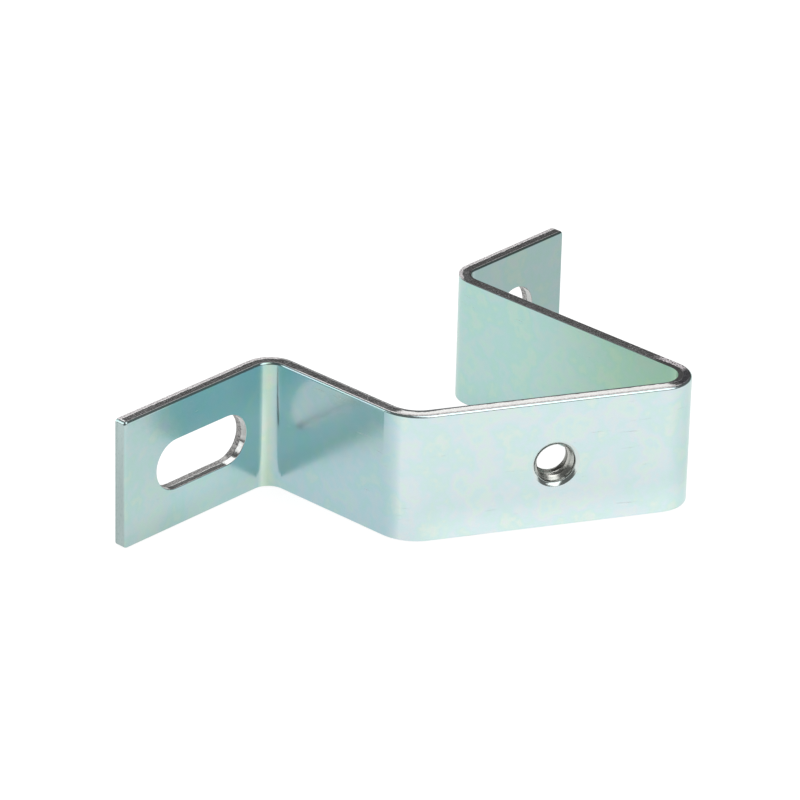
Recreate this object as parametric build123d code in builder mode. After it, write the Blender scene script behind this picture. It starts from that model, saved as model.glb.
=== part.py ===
from build123d import *

import os
from math import cos, radians, sin, tan

# Slanted support bracket for a mounting rail, stamped and folded from one strip of 2 mm steel.
#
# The strip stands on its long edge, so its width runs along +Z. Two coplanar feet lie against the
# mounting plane (their backs face +Y). A short leg and a long leg rise square from them towards -Y,
# and between the legs the crown runs at a slope, with an extruded collar tapped M6 in it.
# +X runs from the slotted foot to the round-holed foot. The origin is the middle of the outline,
# on the edge that the strip stands on.

os.makedirs("parts", exist_ok=True)

# Driving dimensions, in mm and degrees. Lengths run between sharp corners of the front face,
# the one that looks away from the mounting plane.
strip_width = 20.0
sheet = 2.0
slotted_foot = 29.0
round_foot = 22.0
short_leg = 26.5
crown_run = 41.5  # between the legs, measured along the mounting plane
crown_slope = 30.0
foot_bend = 2.5  # inner radius of the two bends at the feet
shoulder_bend = 5.0  # inner radius, short leg to crown
nose_bend = 3.0  # inner radius, crown to long leg

corner_radius = 0.6  # corners of the strip's free ends
die_roll = 0.4  # blanked outline, front face
burr_break = 0.1  # blanked outline, back face, where the plating softens the burr
pierce_roll = 0.1  # holes are pierced from the front face

hole_width = 7.8  # the slot and the round hole take the same screw
slot_length = 18.0
slot_from_end = 15.3
round_hole_from_end = 10.5

thread_major = 6.0  # M6: the bore is cut at the thread's major diameter
countersink_diameter = 7.2
countersink_angle = 120.0
tap_from_short_leg = 22.7  # along the crown's front face, from its sharp corner
collar_diameter = 7.5
collar_height = 1.4  # past the crown's back face
collar_root = 0.5
collar_rim = 0.15

# Places worked out from them
outline_length = slotted_foot + crown_run + round_foot
crown_rise = crown_run * tan(radians(crown_slope))
long_leg = short_leg + crown_rise
shoulder_radius = shoulder_bend + sheet
nose_radius = nose_bend + sheet
nose_angle = 90 - crown_slope  # between the crown and the long leg
nose_setback = nose_radius / tan(radians(nose_angle / 2)) - nose_radius
outline_depth = sheet + long_leg - nose_setback
left = -outline_length / 2
front = outline_depth / 2 - sheet  # front face of the feet
mid_width = strip_width / 2
hole_radius = hole_width / 2

short_leg_x = left + slotted_foot
long_leg_x = short_leg_x + crown_run
slot_x = left + slot_from_end
round_hole_x = left + outline_length - round_hole_from_end

along_crown = Vector(cos(radians(crown_slope)), -sin(radians(crown_slope)), 0)
out_of_crown = Vector(along_crown.Y, -along_crown.X, 0)
crown_corner = Vector(short_leg_x, front - short_leg, mid_width)
tap_centre = crown_corner + along_crown * tap_from_short_leg

slot_plane = Plane(origin=(slot_x, front, mid_width), x_dir=(1, 0, 0), z_dir=(0, -1, 0))
round_hole_plane = Plane(origin=(round_hole_x, front, mid_width), x_dir=(1, 0, 0), z_dir=(0, -1, 0))
tap_plane = Plane(origin=tap_centre, x_dir=along_crown, z_dir=out_of_crown)


def depth_in_sheet(edge):
    """How far behind the strip's front face the middle of an edge lies."""
    middle = edge @ 0.5
    return front_line.line.distance_to(Vector(middle.X, middle.Y, 0))


def rim_edges(depth):
    """The blanked outline's edges on the face of the strip at that depth."""
    upright = bracket.edges().filter_by(Axis.Z).group_by(Axis.X)
    rim = bracket.edges().filter_by(Axis.Z, reverse=True) + upright[0] + upright[-1]
    return [edge for edge in rim if abs(depth_in_sheet(edge) - depth) < burr_break / 2]


with BuildPart() as bracket:
    # The strip, folded from the line of its front face
    with BuildLine() as front_line:
        FilletPolyline(
            (left, front),
            (short_leg_x, front),
            (short_leg_x, front - short_leg),
            (long_leg_x, front - long_leg),
            (long_leg_x, front),
            (left + outline_length, front),
            radius=[foot_bend, shoulder_radius, nose_radius, foot_bend],
        )
    make_brake_formed(thickness=sheet, station_widths=strip_width, side=Side.LEFT)

    # Free ends: four small corner radii
    across_sheet = bracket.edges().filter_by(Axis.Y).group_by(Axis.X)
    fillet(across_sheet[0] + across_sheet[-1], radius=corner_radius)

    # Blanked outline: the die roll in front, the burr side on the back
    fillet(rim_edges(depth=0), radius=die_roll)
    fillet(rim_edges(depth=sheet), radius=burr_break)

    # Fixing slot and round hole in the feet
    with BuildSketch(slot_plane):
        SlotOverall(slot_length, hole_width)
    extrude(amount=-sheet, mode=Mode.SUBTRACT)
    fillet(bracket.edges(Select.LAST).group_by(Axis.Y)[0], radius=pierce_roll)
    with Locations(round_hole_plane):
        Hole(radius=hole_radius, depth=sheet)
    fillet(bracket.edges(Select.LAST).group_by(Axis.Y)[0], radius=pierce_roll)

    # Collar drawn through the crown's back
    with BuildSketch(tap_plane.offset(-sheet)):
        Circle(collar_diameter / 2)
    extrude(amount=-collar_height)
    collar_edges = bracket.edges(Select.LAST).filter_by(GeomType.CIRCLE)
    collar_edges = collar_edges.sort_by_distance(tap_centre)
    fillet(collar_edges[0], radius=collar_root)
    fillet(collar_edges[-1], radius=collar_rim)

    # Bore for the thread, with its countersink in front
    with Locations(tap_plane):
        CounterSinkHole(
            radius=thread_major / 2,
            counter_sink_radius=countersink_diameter / 2,
            depth=sheet + collar_height,
            counter_sink_angle=countersink_angle,
        )

bracket.part.label = "bracket"
export_step(bracket.part, "parts/bracket.step")
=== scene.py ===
from math import cos, pi, radians, sin

import bmesh
import bpy
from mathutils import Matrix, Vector


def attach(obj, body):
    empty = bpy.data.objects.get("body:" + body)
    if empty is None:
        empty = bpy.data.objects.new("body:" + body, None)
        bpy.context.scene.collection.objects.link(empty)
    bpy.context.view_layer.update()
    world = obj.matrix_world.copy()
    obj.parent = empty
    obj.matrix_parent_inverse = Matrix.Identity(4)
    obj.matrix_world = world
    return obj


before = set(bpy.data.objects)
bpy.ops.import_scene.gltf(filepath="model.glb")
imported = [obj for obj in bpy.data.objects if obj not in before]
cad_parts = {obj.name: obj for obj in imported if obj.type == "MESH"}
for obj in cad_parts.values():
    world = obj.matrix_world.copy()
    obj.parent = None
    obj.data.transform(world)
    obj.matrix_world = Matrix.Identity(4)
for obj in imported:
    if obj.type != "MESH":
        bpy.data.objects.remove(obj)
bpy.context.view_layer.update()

MM = 0.001

# ---- The bracket as it is folded, in millimetres ----

HALF_LENGTH = 46.25
HALF_WIDTH = 10.0
MID_SHEET = 1.0  # from the front face to the middle of the sheet

# Walls and bends, by their front faces
FRONT_OF_FEET = 22.3999
SHORT_LEG = -17.25
LONG_LEG = 24.25
FOOT_BEND = 2.5
SHOULDER_BEND = 7.0  # short leg to crown
SHOULDER_CENTRE = (-10.25, -0.0586)
NOSE_BEND = 5.0  # crown to long leg
NOSE_CENTRE = (19.25, -19.3965)
SLOPE = radians(30.0)
ALONG_CROWN = (cos(SLOPE), -sin(SLOPE))
INTO_CROWN = (sin(SLOPE), cos(SLOPE))

# Slot and round hole in the feet
SLOT_MIDDLE = -30.95
SLOT_REACH = 5.1  # from its middle to the centre of each round end
ROUND_HOLE = 35.75
HOLE_RADIUS = 3.9

# Tapped hole in the crown: radii, and depths from the crown's front face
TAP_CENTRE = Vector((2.4088, -15.4501, HALF_WIDTH))
TAP_AXIS = Vector((INTO_CROWN[0], INTO_CROWN[1], 0.0))
COUNTERSINK = 3.6
SINK_ROUNDING = 0.38  # how far the countersink's inner edge is rounded
THREAD_MAJOR = 3.0
THREAD_MINOR = 2.459
THREAD_PITCH = 1.0
THREAD_START = 0.9  # where the ridge begins to rise from the bore
THREAD_END = 3.4  # the collar's rim


# ---- Node helpers ----

def node(tree, kind, inputs=None, **settings):
    """Adds a node, sets it up, and feeds its inputs from numbers or from other nodes."""
    made = tree.nodes.new(kind)
    for name, value in settings.items():
        setattr(made, name, value)
    for name, value in (inputs or {}).items():
        if isinstance(value, bpy.types.NodeSocket):
            tree.links.new(value, made.inputs[name])
        else:
            made.inputs[name].default_value = value
    return made


def calc(tree, operation, *values, clamp=False):
    """One step of arithmetic."""
    made = node(tree, "ShaderNodeMath", dict(enumerate(values)), operation=operation, use_clamp=clamp)
    return made.outputs[0]


def product(tree, first, *others):
    """Several values multiplied together."""
    for other in others:
        first = calc(tree, "MULTIPLY", first, other)
    return first


def add_up(tree, start, parts):
    """start plus each value times its amount. parts are (value, amount)."""
    for value, amount in parts:
        start = calc(tree, "MULTIPLY_ADD", value, amount, start)
    return start


def fade(tree, value, start, end, low=0.0, high=1.0):
    """Goes smoothly from low to high as value goes from start to end."""
    made = node(tree, "ShaderNodeMapRange", {"Value": value, "From Min": start, "From Max": end,
                                             "To Min": low, "To Max": high},
                interpolation_type="SMOOTHSTEP")
    return made.outputs["Result"]


def blend(tree, amount, first, second, kind="MIX"):
    """Mixes two colours."""
    made = tree.nodes.new("ShaderNodeMix")
    made.data_type = "RGBA"
    made.blend_type = kind
    made.clamp_factor = True
    for index, value in ((0, amount), (6, first), (7, second)):
        if isinstance(value, bpy.types.NodeSocket):
            tree.links.new(value, made.inputs[index])
        else:
            made.inputs[index].default_value = value if index == 0 else (*value, 1.0)
    return made.outputs[2]


def noise(tree, place, scale, detail=2.0, rough=0.5, shift=0.0):
    """Cloudy noise, from 0 to 1. place is in millimetres, and scale is spots per millimetre."""
    if shift:
        place = node(tree, "ShaderNodeVectorMath", {0: place, 1: (shift, shift, shift)}, operation="ADD")
        place = place.outputs[0]
    made = node(tree, "ShaderNodeTexNoise",
                {"Vector": place, "Scale": scale, "Detail": detail, "Roughness": rough})
    return made.outputs["Fac"]


def stretch(tree, place, x, y, z):
    """The same place with each axis scaled, so that a pattern on it is drawn out."""
    return node(tree, "ShaderNodeVectorMath", {0: place, 1: (x, y, z)}, operation="MULTIPLY").outputs[0]


def ramp(tree, value, stops):
    """A colour that depends on value. stops are (position, colour)."""
    made = node(tree, "ShaderNodeValToRGB", {"Fac": value})
    elements = made.color_ramp.elements
    elements[0].position, elements[0].color = stops[0][0], (*stops[0][1], 1.0)
    elements[1].position, elements[1].color = stops[-1][0], (*stops[-1][1], 1.0)
    for position, colour in stops[1:-1]:
        elements.new(position).color = (*colour, 1.0)
    return made.outputs["Color"]


def new_group(name, inputs, outputs):
    """An empty node group with the given sockets, each a (name, type)."""
    tree = bpy.data.node_groups.new(name, "ShaderNodeTree")
    for label, kind in inputs:
        tree.interface.new_socket(label, in_out="INPUT", socket_type=kind)
    for label, kind in outputs:
        tree.interface.new_socket(label, in_out="OUTPUT", socket_type=kind)
    return tree, tree.nodes.new("NodeGroupInput"), tree.nodes.new("NodeGroupOutput")


def use_group(tree, group, inputs):
    """Places a group in a material."""
    made = tree.nodes.new("ShaderNodeGroup")
    made.node_tree = group
    for label, value in inputs.items():
        if isinstance(value, bpy.types.NodeSocket):
            tree.links.new(value, made.inputs[label])
        else:
            made.inputs[label].default_value = value
    return made


def new_material(name):
    """A material with its Principled shader, and the place on the piece in millimetres."""
    material = bpy.data.materials.new(name)
    material.use_nodes = True
    tree = material.node_tree
    shader = tree.nodes["Principled BSDF"]
    place = node(tree, "ShaderNodeTexCoord").outputs["Object"]
    place = node(tree, "ShaderNodeVectorMath", {0: place, "Scale": 1 / MM}, operation="SCALE")
    return material, tree, shader, place.outputs[0]


def choose(tree, here, inside, outside):
    """The value inside where here is 1, and outside where it is 0."""
    return calc(tree, "MULTIPLY_ADD", calc(tree, "SUBTRACT", inside, outside), here, outside)


def hypotenuse(tree, first, second):
    """The length of a line from its two components."""
    squares = calc(tree, "MULTIPLY_ADD", first, first, calc(tree, "MULTIPLY", second, second))
    return calc(tree, "SQRT", squares)


# ---- Finishes ----

def make_strip_frame():
    """Unrolls the folded strip: depth from its front face, and distance along it, in millimetres."""
    tree, source, result = new_group("strip frame", [("Place", "NodeSocketVector")],
                                     [("Depth", "NodeSocketFloat"), ("Along", "NodeSocketFloat")])
    split = node(tree, "ShaderNodeSeparateXYZ", {0: source.outputs["Place"]})
    x, y = split.outputs["X"], split.outputs["Y"]

    # Legs and feet
    middle = (SHORT_LEG + LONG_LEG) / 2
    half = (LONG_LEG - SHORT_LEG) / 2
    off_middle = calc(tree, "ABSOLUTE", calc(tree, "SUBTRACT", x, middle))
    in_leg = calc(tree, "SUBTRACT", half, off_middle)
    leg_side = calc(tree, "MAXIMUM", calc(tree, "ADD", in_leg, FOOT_BEND), 0.0)
    foot_side = calc(tree, "MAXIMUM", calc(tree, "SUBTRACT", y, FRONT_OF_FEET - FOOT_BEND), 0.0)
    in_feet = calc(tree, "SUBTRACT", hypotenuse(tree, leg_side, foot_side), FOOT_BEND)
    turn = calc(tree, "ARCTAN2", foot_side, leg_side)
    past_bend = calc(tree, "MAXIMUM", calc(tree, "SUBTRACT", off_middle, half + FOOT_BEND), 0.0)
    along_feet = calc(tree, "MINIMUM", y, FRONT_OF_FEET - FOOT_BEND)
    along_feet = calc(tree, "MULTIPLY_ADD", turn, FOOT_BEND + MID_SHEET, along_feet)
    along_feet = calc(tree, "ADD", along_feet, past_bend)

    # Crown
    face = TAP_CENTRE.x * INTO_CROWN[0] + TAP_CENTRE.y * INTO_CROWN[1]
    in_crown = add_up(tree, -face, [(y, INTO_CROWN[1]), (x, INTO_CROWN[0])])
    along_crown = add_up(tree, 0.0, [(y, ALONG_CROWN[1]), (x, ALONG_CROWN[0])])
    on_crown = calc(tree, "LESS_THAN", in_crown, in_leg)
    depth = calc(tree, "MINIMUM", in_leg, in_crown)
    along = choose(tree, on_crown, along_crown, along_feet)

    # Shoulder and nose
    bends = ((SHOULDER_CENTRE, SHOULDER_BEND, -1.0), (NOSE_CENTRE, NOSE_BEND, 1.0))
    for (centre_x, centre_y), radius, side in bends:
        across = calc(tree, "SUBTRACT", x, centre_x)
        down = calc(tree, "SUBTRACT", centre_y, y)
        past = calc(tree, "SUBTRACT", calc(tree, "MULTIPLY", across, side * ALONG_CROWN[0]),
                    calc(tree, "MULTIPLY", down, side * ALONG_CROWN[1]))
        in_bend = calc(tree, "MULTIPLY", calc(tree, "GREATER_THAN", down, 0.0),
                       calc(tree, "GREATER_THAN", past, 0.0))
        depth = choose(tree, in_bend, calc(tree, "SUBTRACT", radius, hypotenuse(tree, across, down)), depth)
        turn = calc(tree, "ARCTAN2", down, across)
        along = choose(tree, in_bend, calc(tree, "MULTIPLY", turn, radius - MID_SHEET), along)

    near_feet = calc(tree, "GREATER_THAN", y, FRONT_OF_FEET / 2)
    tree.links.new(choose(tree, near_feet, in_feet, depth), result.inputs["Depth"])
    tree.links.new(along, result.inputs["Along"])
    return tree


def hole_wall(tree, place, middle, reach):
    """Distance from the wall of a slot or a round hole in a foot, in millimetres."""
    split = node(tree, "ShaderNodeSeparateXYZ", {0: place})
    across = calc(tree, "ABSOLUTE", calc(tree, "SUBTRACT", split.outputs["X"], middle))
    across = calc(tree, "MAXIMUM", calc(tree, "SUBTRACT", across, reach), 0.0)
    up = calc(tree, "SUBTRACT", split.outputs["Z"], HALF_WIDTH)
    return calc(tree, "SUBTRACT", hypotenuse(tree, across, up), HOLE_RADIUS)


def tap_place(tree, place):
    """Distance from the tapped hole's axis and depth along it, in millimetres."""
    def vector_step(operation, output, *values):
        return node(tree, "ShaderNodeVectorMath", dict(enumerate(values)), operation=operation).outputs[output]

    out = vector_step("SUBTRACT", "Vector", place, tuple(TAP_CENTRE))
    across = vector_step("CROSS_PRODUCT", "Vector", out, tuple(TAP_AXIS))
    deep = vector_step("DOT_PRODUCT", "Value", out, tuple(TAP_AXIS))
    reach = vector_step("LENGTH", "Value", across)
    beyond = calc(tree, "MAXIMUM", calc(tree, "SUBTRACT", deep, THREAD_END), 0.0)
    return calc(tree, "ADD", reach, beyond), deep


TEAL = (0.442, 0.627, 0.633)
DEEP_TEAL = (0.458, 0.657, 0.660)
# Bend 1's bands: a paler drawn film, with painted highlight on the pale band and painted shade on the dull one
PALE_CREASE_HIGHLIGHT = (0.70, 0.83, 0.74)
DULL_CREASE_SHADE = (0.51, 0.635, 0.535)
LEG_TEAL = (0.395, 0.578, 0.630)
# The crown's pale tint: partly the film, partly a painted brighter reflection. Fading from it to GREY_GREEN
# paints the nose darker.
PALE_FILM_AND_REFLECTION = (0.653, 0.779, 0.788)
GREY_GREEN = (0.434, 0.628, 0.598)
# The far end's darker green: partly the film, partly painted shade of the shaded floor that the long leg and
# its foot reflect
FAR_GREEN_AND_SHADE = (0.324, 0.437, 0.425)

# The passivation's tint along the object, by X in millimetres, with painted highlight, reflection and shade at
# bend 1, on the crown and at the far end
FILM_TINTS_AND_PAINTED_LIGHT = [
    (-38.00, TEAL),
    (-30.00, DEEP_TEAL),
    (-19.40, DEEP_TEAL),
    # bend 1: painted highlight, then painted shade, over a paler drawn film
    (-18.75, PALE_CREASE_HIGHLIGHT),
    (-18.00, DULL_CREASE_SHADE),
    (SHORT_LEG, LEG_TEAL),
    # the crown: paler film with a painted brighter reflection
    (-16.60, PALE_FILM_AND_REFLECTION),
    (17.00, PALE_FILM_AND_REFLECTION),
    (22.15, GREY_GREEN),
    # the far foot: film with painted shade
    (26.50, FAR_GREEN_AND_SHADE),
    (HALF_LENGTH, FAR_GREEN_AND_SHADE),
]

# Pastel clouds in the passivation, by the noise's level
CLOUD_HUES = [
    (0.26, (1.08, 0.97, 1.02)),
    (0.36, (1.04, 1.03, 0.95)),
    (0.43, (0.93, 1.01, 0.97)),
    (0.49, (0.97, 1.00, 1.02)),
    (0.55, (1.05, 0.99, 1.01)),
    (0.61, (1.02, 1.03, 0.96)),
    (0.68, (0.94, 1.01, 1.00)),
    (0.78, (1.08, 0.96, 1.02)),
]


def film_colour_and_painted_light(tree, place, x, y, z, depth):
    """The colour of the passivated faces, with painted shade, highlight and reflection in places."""
    share = calc(tree, "MULTIPLY_ADD", x, 0.5 / HALF_LENGTH, 0.5)
    tint_and_painted_light = ramp(tree, share, [(0.5 + at / (2 * HALF_LENGTH), colour) for at, colour in FILM_TINTS_AND_PAINTED_LIGHT])
    clouds = noise(tree, place, 0.20, detail=4.0, rough=0.6)

    shade_behind_nose = product(tree, fade(tree, depth, 1.0, 1.5), fade(tree, x, 19.0, 21.5),
                          fade(tree, y, 12.0, -20.0))
    painted_light_low_on_crown = product(tree, fade(tree, z, 6.0, 0.5), fade(tree, y, -4.0, -8.0))
    on_foot = fade(tree, x, -17.8, -18.8)
    upper_film_and_shade = product(tree, fade(tree, z, 11.0, 17.5), on_foot, fade(tree, x, -41.0, -33.0))
    upper_right_film_and_shade = product(tree, upper_film_and_shade, fade(tree, x, -27.0, -22.0))
    shade_low_on_foot = product(tree, fade(tree, z, 5.0, 1.5), on_foot, fade(tree, x, -43.0, -37.0))
    foot_end = fade(tree, x, -34.0, -42.0)
    for amount, change in (
        (1.0, ramp(tree, clouds, CLOUD_HUES)),
        (shade_behind_nose, (0.75, 0.80, 0.66)),  # darker and yellower: painted shade inside the nose, with a yellowish tint
        (painted_light_low_on_crown, (1.15, 1.13, 1.12)),  # paler: painted brighter reflection low on the crown, near the floor
        (upper_film_and_shade, (0.80, 0.915, 0.93)),  # deeper in the foot's upper part: partly film, partly painted shade
        # more painted shade at the foot's upper right
        (upper_right_film_and_shade, (0.90, 0.92, 0.95)),
        # painted shade low on the foot, near the floor
        (shade_low_on_foot, (0.94, 0.93, 0.91)),
        (foot_end, (1.07, 1.00, 0.97)),  # warmer
    ):
        tint_and_painted_light = blend(tree, amount, tint_and_painted_light, change, "MULTIPLY")
    return tint_and_painted_light


def handling_marks(tree, place):
    """Hairline scratches, and scratches and specks together, as masks."""
    swept = noise(tree, stretch(tree, place, 0.05, 0.05, 1.1), 2.6, detail=3.0, rough=0.7, shift=5.0)
    scratch = fade(tree, swept, 0.67, 0.72)
    speck = fade(tree, noise(tree, place, 1.7, detail=1.0, shift=17.0), 0.80, 0.84)
    return scratch, calc(tree, "MAXIMUM", scratch, speck)


def mottled(tree, grain, low, dark, high, light):
    """A metal that goes from dark to light as the grain goes from low to high."""
    return ramp(tree, grain, [(low, dark), (high, light)])


class CutEdge:
    """The blanked outline: below the die roll comes smooth sheared metal, then torn metal at the back. Its
    colours carry painted highlight and painted shade by place, on the feet, crown and nose.
    """

    def __init__(self, tree, grain, tear_line, x, y, z, depth):
        off_middle = calc(tree, "ABSOLUTE", calc(tree, "SUBTRACT", z, HALF_WIDTH))
        from_edge = calc(tree, "SUBTRACT", HALF_WIDTH, off_middle)
        from_end = calc(tree, "SUBTRACT", HALF_LENGTH, calc(tree, "ABSOLUTE", x))
        self.flank = fade(tree, from_edge, 0.10, 0.02)
        end = fade(tree, from_end, 0.10, 0.02)
        self.all = product(tree, calc(tree, "MAXIMUM", self.flank, end), fade(tree, depth, 0.12, 0.30))

        on_feet = fade(tree, y, FRONT_OF_FEET - 1.5, FRONT_OF_FEET - 0.3)
        self.on_crown = product(tree, fade(tree, y, -0.8, -2.4), fade(tree, x, 19.0, 17.6))
        on_shoulder = product(tree, self.on_crown, fade(tree, x, -9.0, -13.0))
        on_nose = product(tree, fade(tree, x, 18.2, 19.6), fade(tree, y, -15.0, -17.0))
        shaded_nose_front = product(tree, on_nose, fade(tree, y, -20.6, -21.8))
        self.highlit_nose_side = product(tree, calc(tree, "SUBTRACT", on_nose, shaded_nose_front),
                                 fade(tree, grain, 0.38, 0.52))
        tear = add_up(tree, calc(tree, "ADD", tear_line, 0.30),
                      [(on_feet, -0.30), (self.on_crown, -0.10), (on_shoulder, -0.18), (on_nose, -0.45)])
        self.torn = fade(tree, calc(tree, "SUBTRACT", depth, tear), -0.05, 0.08)

        # Painted shade on the rounded front edge of the feet
        painted_shade_on_roll = product(tree, fade(tree, depth, 0.55, 0.40), fade(tree, y, 16.0, 19.0))
        sheared = mottled(tree, grain, 0.34, (0.22, 0.22, 0.22), 0.62, (0.55, 0.54, 0.54))
        sheared = blend(tree, painted_shade_on_roll, sheared, (0.36, 0.36, 0.36), "MULTIPLY")
        # painted shade on the nose's front
        sheared = blend(tree, shaded_nose_front, sheared, (0.13, 0.13, 0.14))
        # painted highlight on the nose's side
        sheared = blend(tree, self.highlit_nose_side, sheared, (0.86, 0.80, 0.83))

        seam = product(tree, fade(tree, depth, 0.36, 0.46), fade(tree, depth, 0.70, 0.58),
                       fade(tree, grain, 0.38, 0.55))
        # The crown's cut edge is burnished, and painted lighter as a painted highlight
        burnished_and_highlit = mottled(tree, grain, 0.34, (0.43, 0.428, 0.42), 0.62, (0.52, 0.515, 0.505))
        burnished_and_highlit = blend(tree, seam, burnished_and_highlit, (0.22, 0.195, 0.20))
        sheared = blend(tree, self.on_crown, sheared, burnished_and_highlit)

        torn = mottled(tree, grain, 0.30, (0.48, 0.46, 0.46), 0.62, (0.72, 0.69, 0.70))
        # The torn band is painted: light on the feet as painted highlight, dark elsewhere and darkest on the
        # nose as painted shade
        torn = blend(tree, on_feet, (0.14, 0.145, 0.15), torn)
        torn = blend(tree, on_nose, torn, (0.06, 0.06, 0.06))

        free_end = ramp(tree, grain, [
            (0.30, (0.33, 0.42, 0.41)),
            (0.40, (0.43, 0.535, 0.525)),
            (0.70, (0.46, 0.56, 0.55)),
        ])
        self.colour = blend(tree, end, blend(tree, self.torn, sheared, torn), free_end)


class HoleWalls:
    """The walls of the slot and the round hole, pierced from the front."""

    def __init__(self, tree, place, grain, tear_line, depth):
        nearest = calc(tree, "MINIMUM", hole_wall(tree, place, SLOT_MIDDLE, SLOT_REACH),
                       hole_wall(tree, place, ROUND_HOLE, 0.0))
        self.all = fade(tree, nearest, 0.05, 0.02)
        self.torn = fade(tree, calc(tree, "SUBTRACT", depth, tear_line), -0.45, -0.30)
        smooth = mottled(tree, grain, 0.3, (0.42, 0.43, 0.42), 0.6, (0.58, 0.59, 0.58))
        rough = mottled(tree, grain, 0.36, (0.12, 0.12, 0.12), 0.60, (0.50, 0.49, 0.48))
        self.colour = blend(tree, self.torn, smooth, rough)


def finish_metal(tree, shader, colour, rough, height):
    """Sets a metal's shader. height is in millimetres."""
    shader.inputs["Metallic"].default_value = 1.0
    tree.links.new(colour, shader.inputs["Base Color"])
    tree.links.new(rough, shader.inputs["Roughness"])
    bump = node(tree, "ShaderNodeBump", {"Strength": 1.0, "Distance": MM, "Height": height})
    tree.links.new(bump.outputs["Normal"], shader.inputs["Normal"])


def make_zinc(strip_frame):
    """The bracket's finish. strip_frame is the node group that unrolls the strip."""
    material, tree, shader, place = new_material("blue passivated zinc")
    x, y, z = node(tree, "ShaderNodeSeparateXYZ", {0: place}).outputs
    unrolled = use_group(tree, strip_frame, {"Place": place})
    depth, along = unrolled.outputs["Depth"], unrolled.outputs["Along"]

    grain = noise(tree, place, 3.6, detail=3.0, rough=0.65)
    tear_line = calc(tree, "MULTIPLY_ADD", noise(tree, place, 0.9, detail=3.0, shift=31.0), 0.4, 1.22)
    edge = CutEdge(tree, grain, tear_line, x, y, z, depth)
    holes = HoleWalls(tree, place, grain, tear_line, depth)
    scratch, mark = handling_marks(tree, place)
    reach, deep = tap_place(tree, place)
    bore = fade(tree, reach, THREAD_MAJOR + 0.08, THREAD_MAJOR + 0.02)
    sink = fade(tree, reach, COUNTERSINK + 0.02, COUNTERSINK - 0.06)
    bare = mottled(tree, grain, 0.3, (0.16, 0.17, 0.16), 0.65, (0.34, 0.36, 0.34))

    colour = film_colour_and_painted_light(tree, place, x, y, z, depth)
    for amount, over in (
        (calc(tree, "MULTIPLY", mark, 0.40), (0.45, 0.48, 0.47)),
        (edge.all, edge.colour),
        (holes.all, holes.colour),
        (sink, (0.68, 0.76, 0.74)),
        (bore, bare),
    ):
        colour = blend(tree, amount, colour, over)

    cut = calc(tree, "MAXIMUM", edge.all, calc(tree, "MAXIMUM", holes.all, sink))
    torn = calc(tree, "MAXIMUM", product(tree, edge.all, edge.torn), product(tree, holes.all, holes.torn))
    burnished_and_highlit = product(tree, edge.all, calc(tree, "MAXIMUM", edge.on_crown, edge.highlit_nose_side))
    smear = noise(tree, place, 0.5, detail=3.0, shift=7.0)
    rough = add_up(tree, 0.13, [(smear, 0.10), (cut, -0.03), (burnished_and_highlit, 0.14), (torn, 0.25), (mark, 0.10)])

    # Shear marks run through the thickness, and turning marks run round the countersink
    across_cut = node(tree, "ShaderNodeCombineXYZ", {"X": along, "Y": calc(tree, "MULTIPLY", x, 0.01)})
    shear_marks = noise(tree, across_cut.outputs[0], 5.0)
    around_tap = node(tree, "ShaderNodeCombineXYZ", {"X": reach, "Y": deep})
    rings = noise(tree, around_tap.outputs[0], 6.0, detail=1.0)
    pits = noise(tree, place, 7.0, shift=3.0)

    # The crown's cut edge leans, and the countersink's inner edge is rounded
    past_roll = calc(tree, "MAXIMUM", calc(tree, "SUBTRACT", depth, 0.30), 0.0)
    lean = product(tree, past_roll, edge.flank, edge.on_crown)
    inward = calc(tree, "MAXIMUM", calc(tree, "SUBTRACT", THREAD_MAJOR + SINK_ROUNDING, reach), 0.0)
    rounding = product(tree, inward, inward, calc(tree, "SUBTRACT", sink, bore))

    height = add_up(tree, 0.0, [
        (pits, 0.0006),
        (product(tree, shear_marks, edge.all), 0.016),
        (product(tree, grain, cut), 0.006),
        (lean, 0.13),
        (product(tree, grain, torn), 0.04),
        (product(tree, rings, sink), 0.01),
        (rounding, -0.60),
        (scratch, -0.002),
    ])
    finish_metal(tree, shader, colour, rough, height)
    return material


def make_thread_metal():
    """Bare cut metal, lighter at the crest, partly worn and partly a painted highlight, and darker deeper in
    the hole.
    """
    material, tree, shader, place = new_material("tapped thread metal")
    reach, deep = tap_place(tree, place)
    chatter = noise(tree, place, 4.0, detail=3.0)
    crest_wear_and_highlight = fade(tree, reach, THREAD_MINOR + 0.25, THREAD_MINOR + 0.02)
    deeper_in_hole = fade(tree, deep, 1.0, 3.0)
    colour = mottled(tree, chatter, 0.3, (0.42, 0.44, 0.41), 0.7, (0.62, 0.63, 0.59))
    # lighter crest: partly wear, partly a painted highlight
    colour = blend(tree, calc(tree, "MULTIPLY", crest_wear_and_highlight, 0.8), colour, (0.86, 0.85, 0.80))
    # darker deeper in the hole
    colour = blend(tree, calc(tree, "MULTIPLY", deeper_in_hole, 0.75), colour, (0.10, 0.10, 0.09))
    rough = calc(tree, "MULTIPLY_ADD", chatter, 0.15, 0.18)
    finish_metal(tree, shader, colour, rough, calc(tree, "MULTIPLY", chatter, 0.01))
    return material


# ---- Thread ----

RIDGE_FOOT = THREAD_PITCH * 7 / 16  # half the ridge's width at the major diameter
RIDGE_CREST = THREAD_PITCH / 8  # and at the minor diameter
RIDGE_SINK = 0.05  # how far the ridge's foot is buried in the wall
RIDGE_FIRST = -0.2  # depth at which it is wound from, before it is trimmed
RIDGE_TURNS = 4
STEPS_PER_TURN = 48
TRIM_STEPS = 96
SLIVER = 0.001


def add_object(name, shape):
    """Makes an object of a bmesh and frees it."""
    mesh = bpy.data.meshes.new(name)
    shape.to_mesh(mesh)
    shape.free()
    made = bpy.data.objects.new(name, mesh)
    bpy.context.scene.collection.objects.link(made)
    return made


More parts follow.
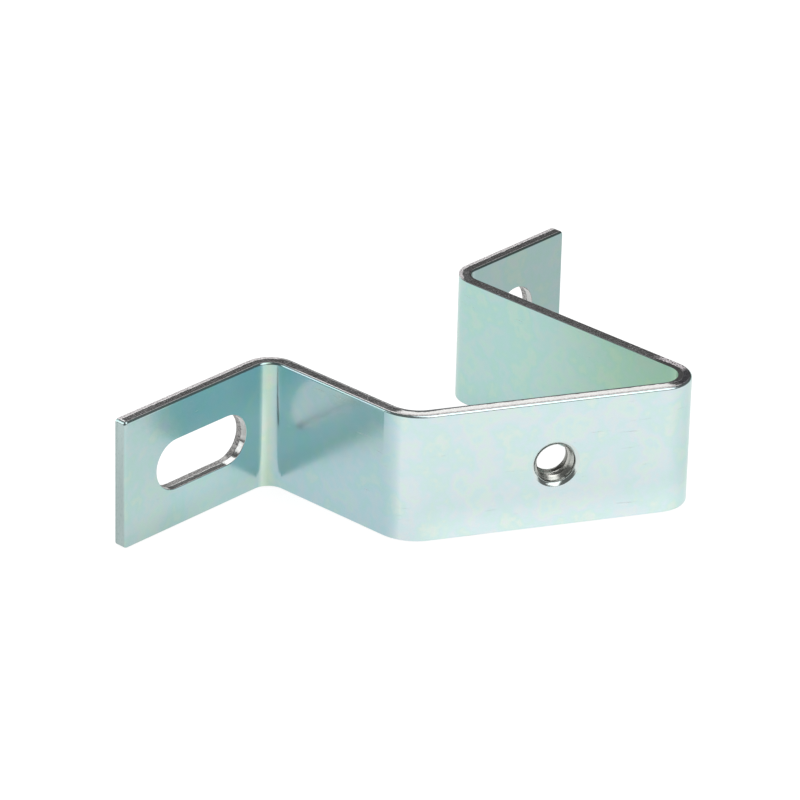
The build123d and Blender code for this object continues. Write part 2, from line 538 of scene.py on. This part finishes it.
def beside_tap(radius, depth):
    """The point straight above the tapped hole's axis at that radius and depth, in metres."""
    return (TAP_CENTRE + Vector((0.0, 0.0, radius)) + TAP_AXIS * depth) * MM


def wind_ridge():
    """The thread's ridge at full length."""
    ridge = bmesh.new()
    corners = (
        (THREAD_MAJOR + RIDGE_SINK, -RIDGE_FOOT),
        (THREAD_MINOR, -RIDGE_CREST),
        (THREAD_MINOR, RIDGE_CREST),
        (THREAD_MAJOR + RIDGE_SINK, RIDGE_FOOT),
    )
    profile = ridge.faces.new([ridge.verts.new(beside_tap(r, RIDGE_FIRST + d)) for r, d in corners])
    bmesh.ops.spin(ridge, geom=[profile], cent=TAP_CENTRE * MM, axis=TAP_AXIS,
                   dvec=TAP_AXIS * (THREAD_PITCH / STEPS_PER_TURN * MM), angle=RIDGE_TURNS * 2 * pi,
                   steps=RIDGE_TURNS * STEPS_PER_TURN, use_merge=False, use_duplicate=False)
    bmesh.ops.recalc_face_normals(ridge, faces=ridge.faces[:])
    return add_object("tap_thread", ridge)


def turn_trim():
    """The ring that keeps the ridge inside the bore: a cone at its start and flat at the rim."""
    trim = bmesh.new()
    outer = THREAD_MAJOR + 2 * RIDGE_SINK
    inner = THREAD_MINOR - 0.5
    corners = (
        (inner, THREAD_START + THREAD_MAJOR - inner),
        (outer, THREAD_START + THREAD_MAJOR - outer),
        (outer, THREAD_END),
        (inner, THREAD_END),
    )
    loop = [trim.verts.new(beside_tap(r, d)) for r, d in corners]
    sides = [trim.edges.new((loop[k - 1], loop[k])) for k in range(len(loop))]
    bmesh.ops.spin(trim, geom=loop + sides, cent=TAP_CENTRE * MM, axis=TAP_AXIS, angle=2 * pi,
                   steps=TRIM_STEPS, use_merge=True, use_duplicate=False)
    bmesh.ops.recalc_face_normals(trim, faces=trim.faces[:])
    return add_object("trim", trim)


def merge_slivers(mesh):
    """Merges away the slivers without any area that a cut leaves."""
    clean = bmesh.new()
    clean.from_mesh(mesh)
    bmesh.ops.remove_doubles(clean, verts=clean.verts[:], dist=SLIVER * MM)
    bmesh.ops.triangulate(clean, faces=clean.faces[:])
    bmesh.ops.dissolve_degenerate(clean, edges=clean.edges[:], dist=SLIVER * MM)
    bmesh.ops.triangulate(clean, faces=clean.faces[:])
    clean.to_mesh(mesh)
    clean.free()


def make_thread(metal):
    """The M6 thread's ridge in the plain bore."""
    thread = wind_ridge()
    trim = turn_trim()
    keep = thread.modifiers.new("keep", "BOOLEAN")
    keep.operation = "INTERSECT"
    keep.object = trim
    keep.solver = "EXACT"
    depsgraph = bpy.context.evaluated_depsgraph_get()
    thread.data = bpy.data.meshes.new_from_object(thread.evaluated_get(depsgraph))
    thread.modifiers.clear()
    bpy.data.objects.remove(trim)
    merge_slivers(thread.data)
    thread.data.materials.clear()
    thread.data.materials.append(metal)
    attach(thread, "root")


# ---- Studio ----

FLOOR_HALF_SIZE = 6.0  # metres
FLOOR_DROP = 0.05  # below the strip's lower edge, in millimetres
SHADE_BEHIND_FOOT = (-46.0, 42.0, 0.0)  # where the slotted foot shades the floor
SHADE_OUTER = 30.0
SHADE_INNER = 10.0

# Name, heading from +X towards +Y and height above the floor in degrees, distance, width and length in
# metres, and power in watts
SOFTBOXES = (
    ("back softbox", 50.0, 47.0, 0.9, 0.9, 0.42, 2.4),
    ("left softbox", 125.0, 27.0, 0.9, 0.6, 0.5, 1.4),
    ("overhead softbox", 270.0, 55.0, 0.9, 0.6, 1.0, 3.0),
)


def seen_rays(tree, path):
    """1 for rays that show a surface, in the picture or in a reflection, and 0 for those that light one."""
    straight = calc(tree, "ADD", path.outputs["Is Camera Ray"], path.outputs["Is Glossy Ray"])
    return calc(tree, "ADD", straight, path.outputs["Is Transmission Ray"], clamp=True)


def make_floor():
    material, tree, shader, place = new_material("studio floor")
    shader.inputs["Base Color"].default_value = (0.25, 0.25, 0.25, 1.0)
    shader.inputs["Roughness"].default_value = 0.9
    shader.inputs["Specular IOR Level"].default_value = 0.0

    # An even glow to the eye, with the foot's shade in reflections
    path = node(tree, "ShaderNodeLightPath")
    out = node(tree, "ShaderNodeVectorMath", {0: place, 1: SHADE_BEHIND_FOOT}, operation="DISTANCE")
    shade = fade(tree, out.outputs["Value"], SHADE_OUTER, SHADE_INNER)
    shade = product(tree, shade, path.outputs["Is Glossy Ray"])
    level = product(tree, calc(tree, "MULTIPLY_ADD", shade, -0.20, 0.80), seen_rays(tree, path))
    level = calc(tree, "MULTIPLY_ADD", path.outputs["Is Camera Ray"], 0.08, level)
    glow = node(tree, "ShaderNodeEmission", {"Color": (1.0, 1.0, 1.0, 1.0), "Strength": level})
    both = node(tree, "ShaderNodeAddShader", {0: shader.outputs[0], 1: glow.outputs[0]})

    # From below, the camera sees through the floor
    backfacing = node(tree, "ShaderNodeNewGeometry").outputs["Backfacing"]
    below = product(tree, backfacing, path.outputs["Is Camera Ray"])
    clear = node(tree, "ShaderNodeBsdfTransparent")
    surface = node(tree, "ShaderNodeMixShader", {0: below, 1: both.outputs[0], 2: clear.outputs[0]})
    tree.links.new(surface.outputs[0], tree.nodes["Material Output"].inputs["Surface"])

    shape = bmesh.new()
    bmesh.ops.create_grid(shape, x_segments=1, y_segments=1, size=FLOOR_HALF_SIZE)
    bmesh.ops.translate(shape, verts=shape.verts[:], vec=(0.0, 0.0, -FLOOR_DROP * MM))
    floor = add_object("floor", shape)
    floor.data.materials.append(material)


def make_world():
    """A pale horizon under a darker ceiling in reflections, white to the camera, and an even fill."""
    world = bpy.data.worlds.new("studio")
    world.use_nodes = True
    tree = world.node_tree
    path = node(tree, "ShaderNodeLightPath")
    direction = node(tree, "ShaderNodeTexCoord").outputs["Generated"]
    height = node(tree, "ShaderNodeSeparateXYZ", {0: direction}).outputs["Z"]
    room = ramp(tree, height, [(0.0, (0.9, 0.9, 0.9)), (0.10, (0.14, 0.14, 0.14))])
    shown = blend(tree, path.outputs["Is Camera Ray"], room, (1.0, 1.0, 1.0))
    colour = blend(tree, seen_rays(tree, path), (0.5, 0.5, 0.5), shown)
    tree.links.new(colour, tree.nodes["Background"].inputs["Color"])
    bpy.context.scene.world = world


def make_softbox(name, heading, height, distance, width, length, power):
    """A lamp aimed at the bracket."""
    lamp = bpy.data.lights.new(name, "AREA")
    lamp.shape = "RECTANGLE"
    lamp.size = width
    lamp.size_y = length
    lamp.energy = power
    around, up = radians(heading), radians(height)
    toward = Vector((cos(around) * cos(up), sin(around) * cos(up), sin(up)))
    softbox = bpy.data.objects.new(name, lamp)
    softbox.location = toward * distance
    softbox.rotation_euler = toward.to_track_quat("Z", "Y").to_euler()
    bpy.context.scene.collection.objects.link(softbox)


def make_camera():
    lens = bpy.data.cameras.new("camera")
    lens.lens = 242.016
    lens.sensor_width = 36.0
    lens.clip_start = 0.01
    camera = bpy.data.objects.new("camera", lens)
    camera.location = (-0.515693, -0.458020, 0.358674)
    camera.rotation_euler = (radians(63.5214), radians(-1.3175), radians(-46.9525))
    bpy.context.scene.collection.objects.link(camera)
    bpy.context.scene.camera = camera


# ---- The scene ----

zinc = make_zinc(make_strip_frame())
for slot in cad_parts["bracket"].material_slots:
    slot.material = zinc
make_thread(make_thread_metal())
make_floor()
make_world()
for settings in SOFTBOXES:
    make_softbox(*settings)
make_camera()
bpy.context.scene.view_settings.view_transform = "Standard"
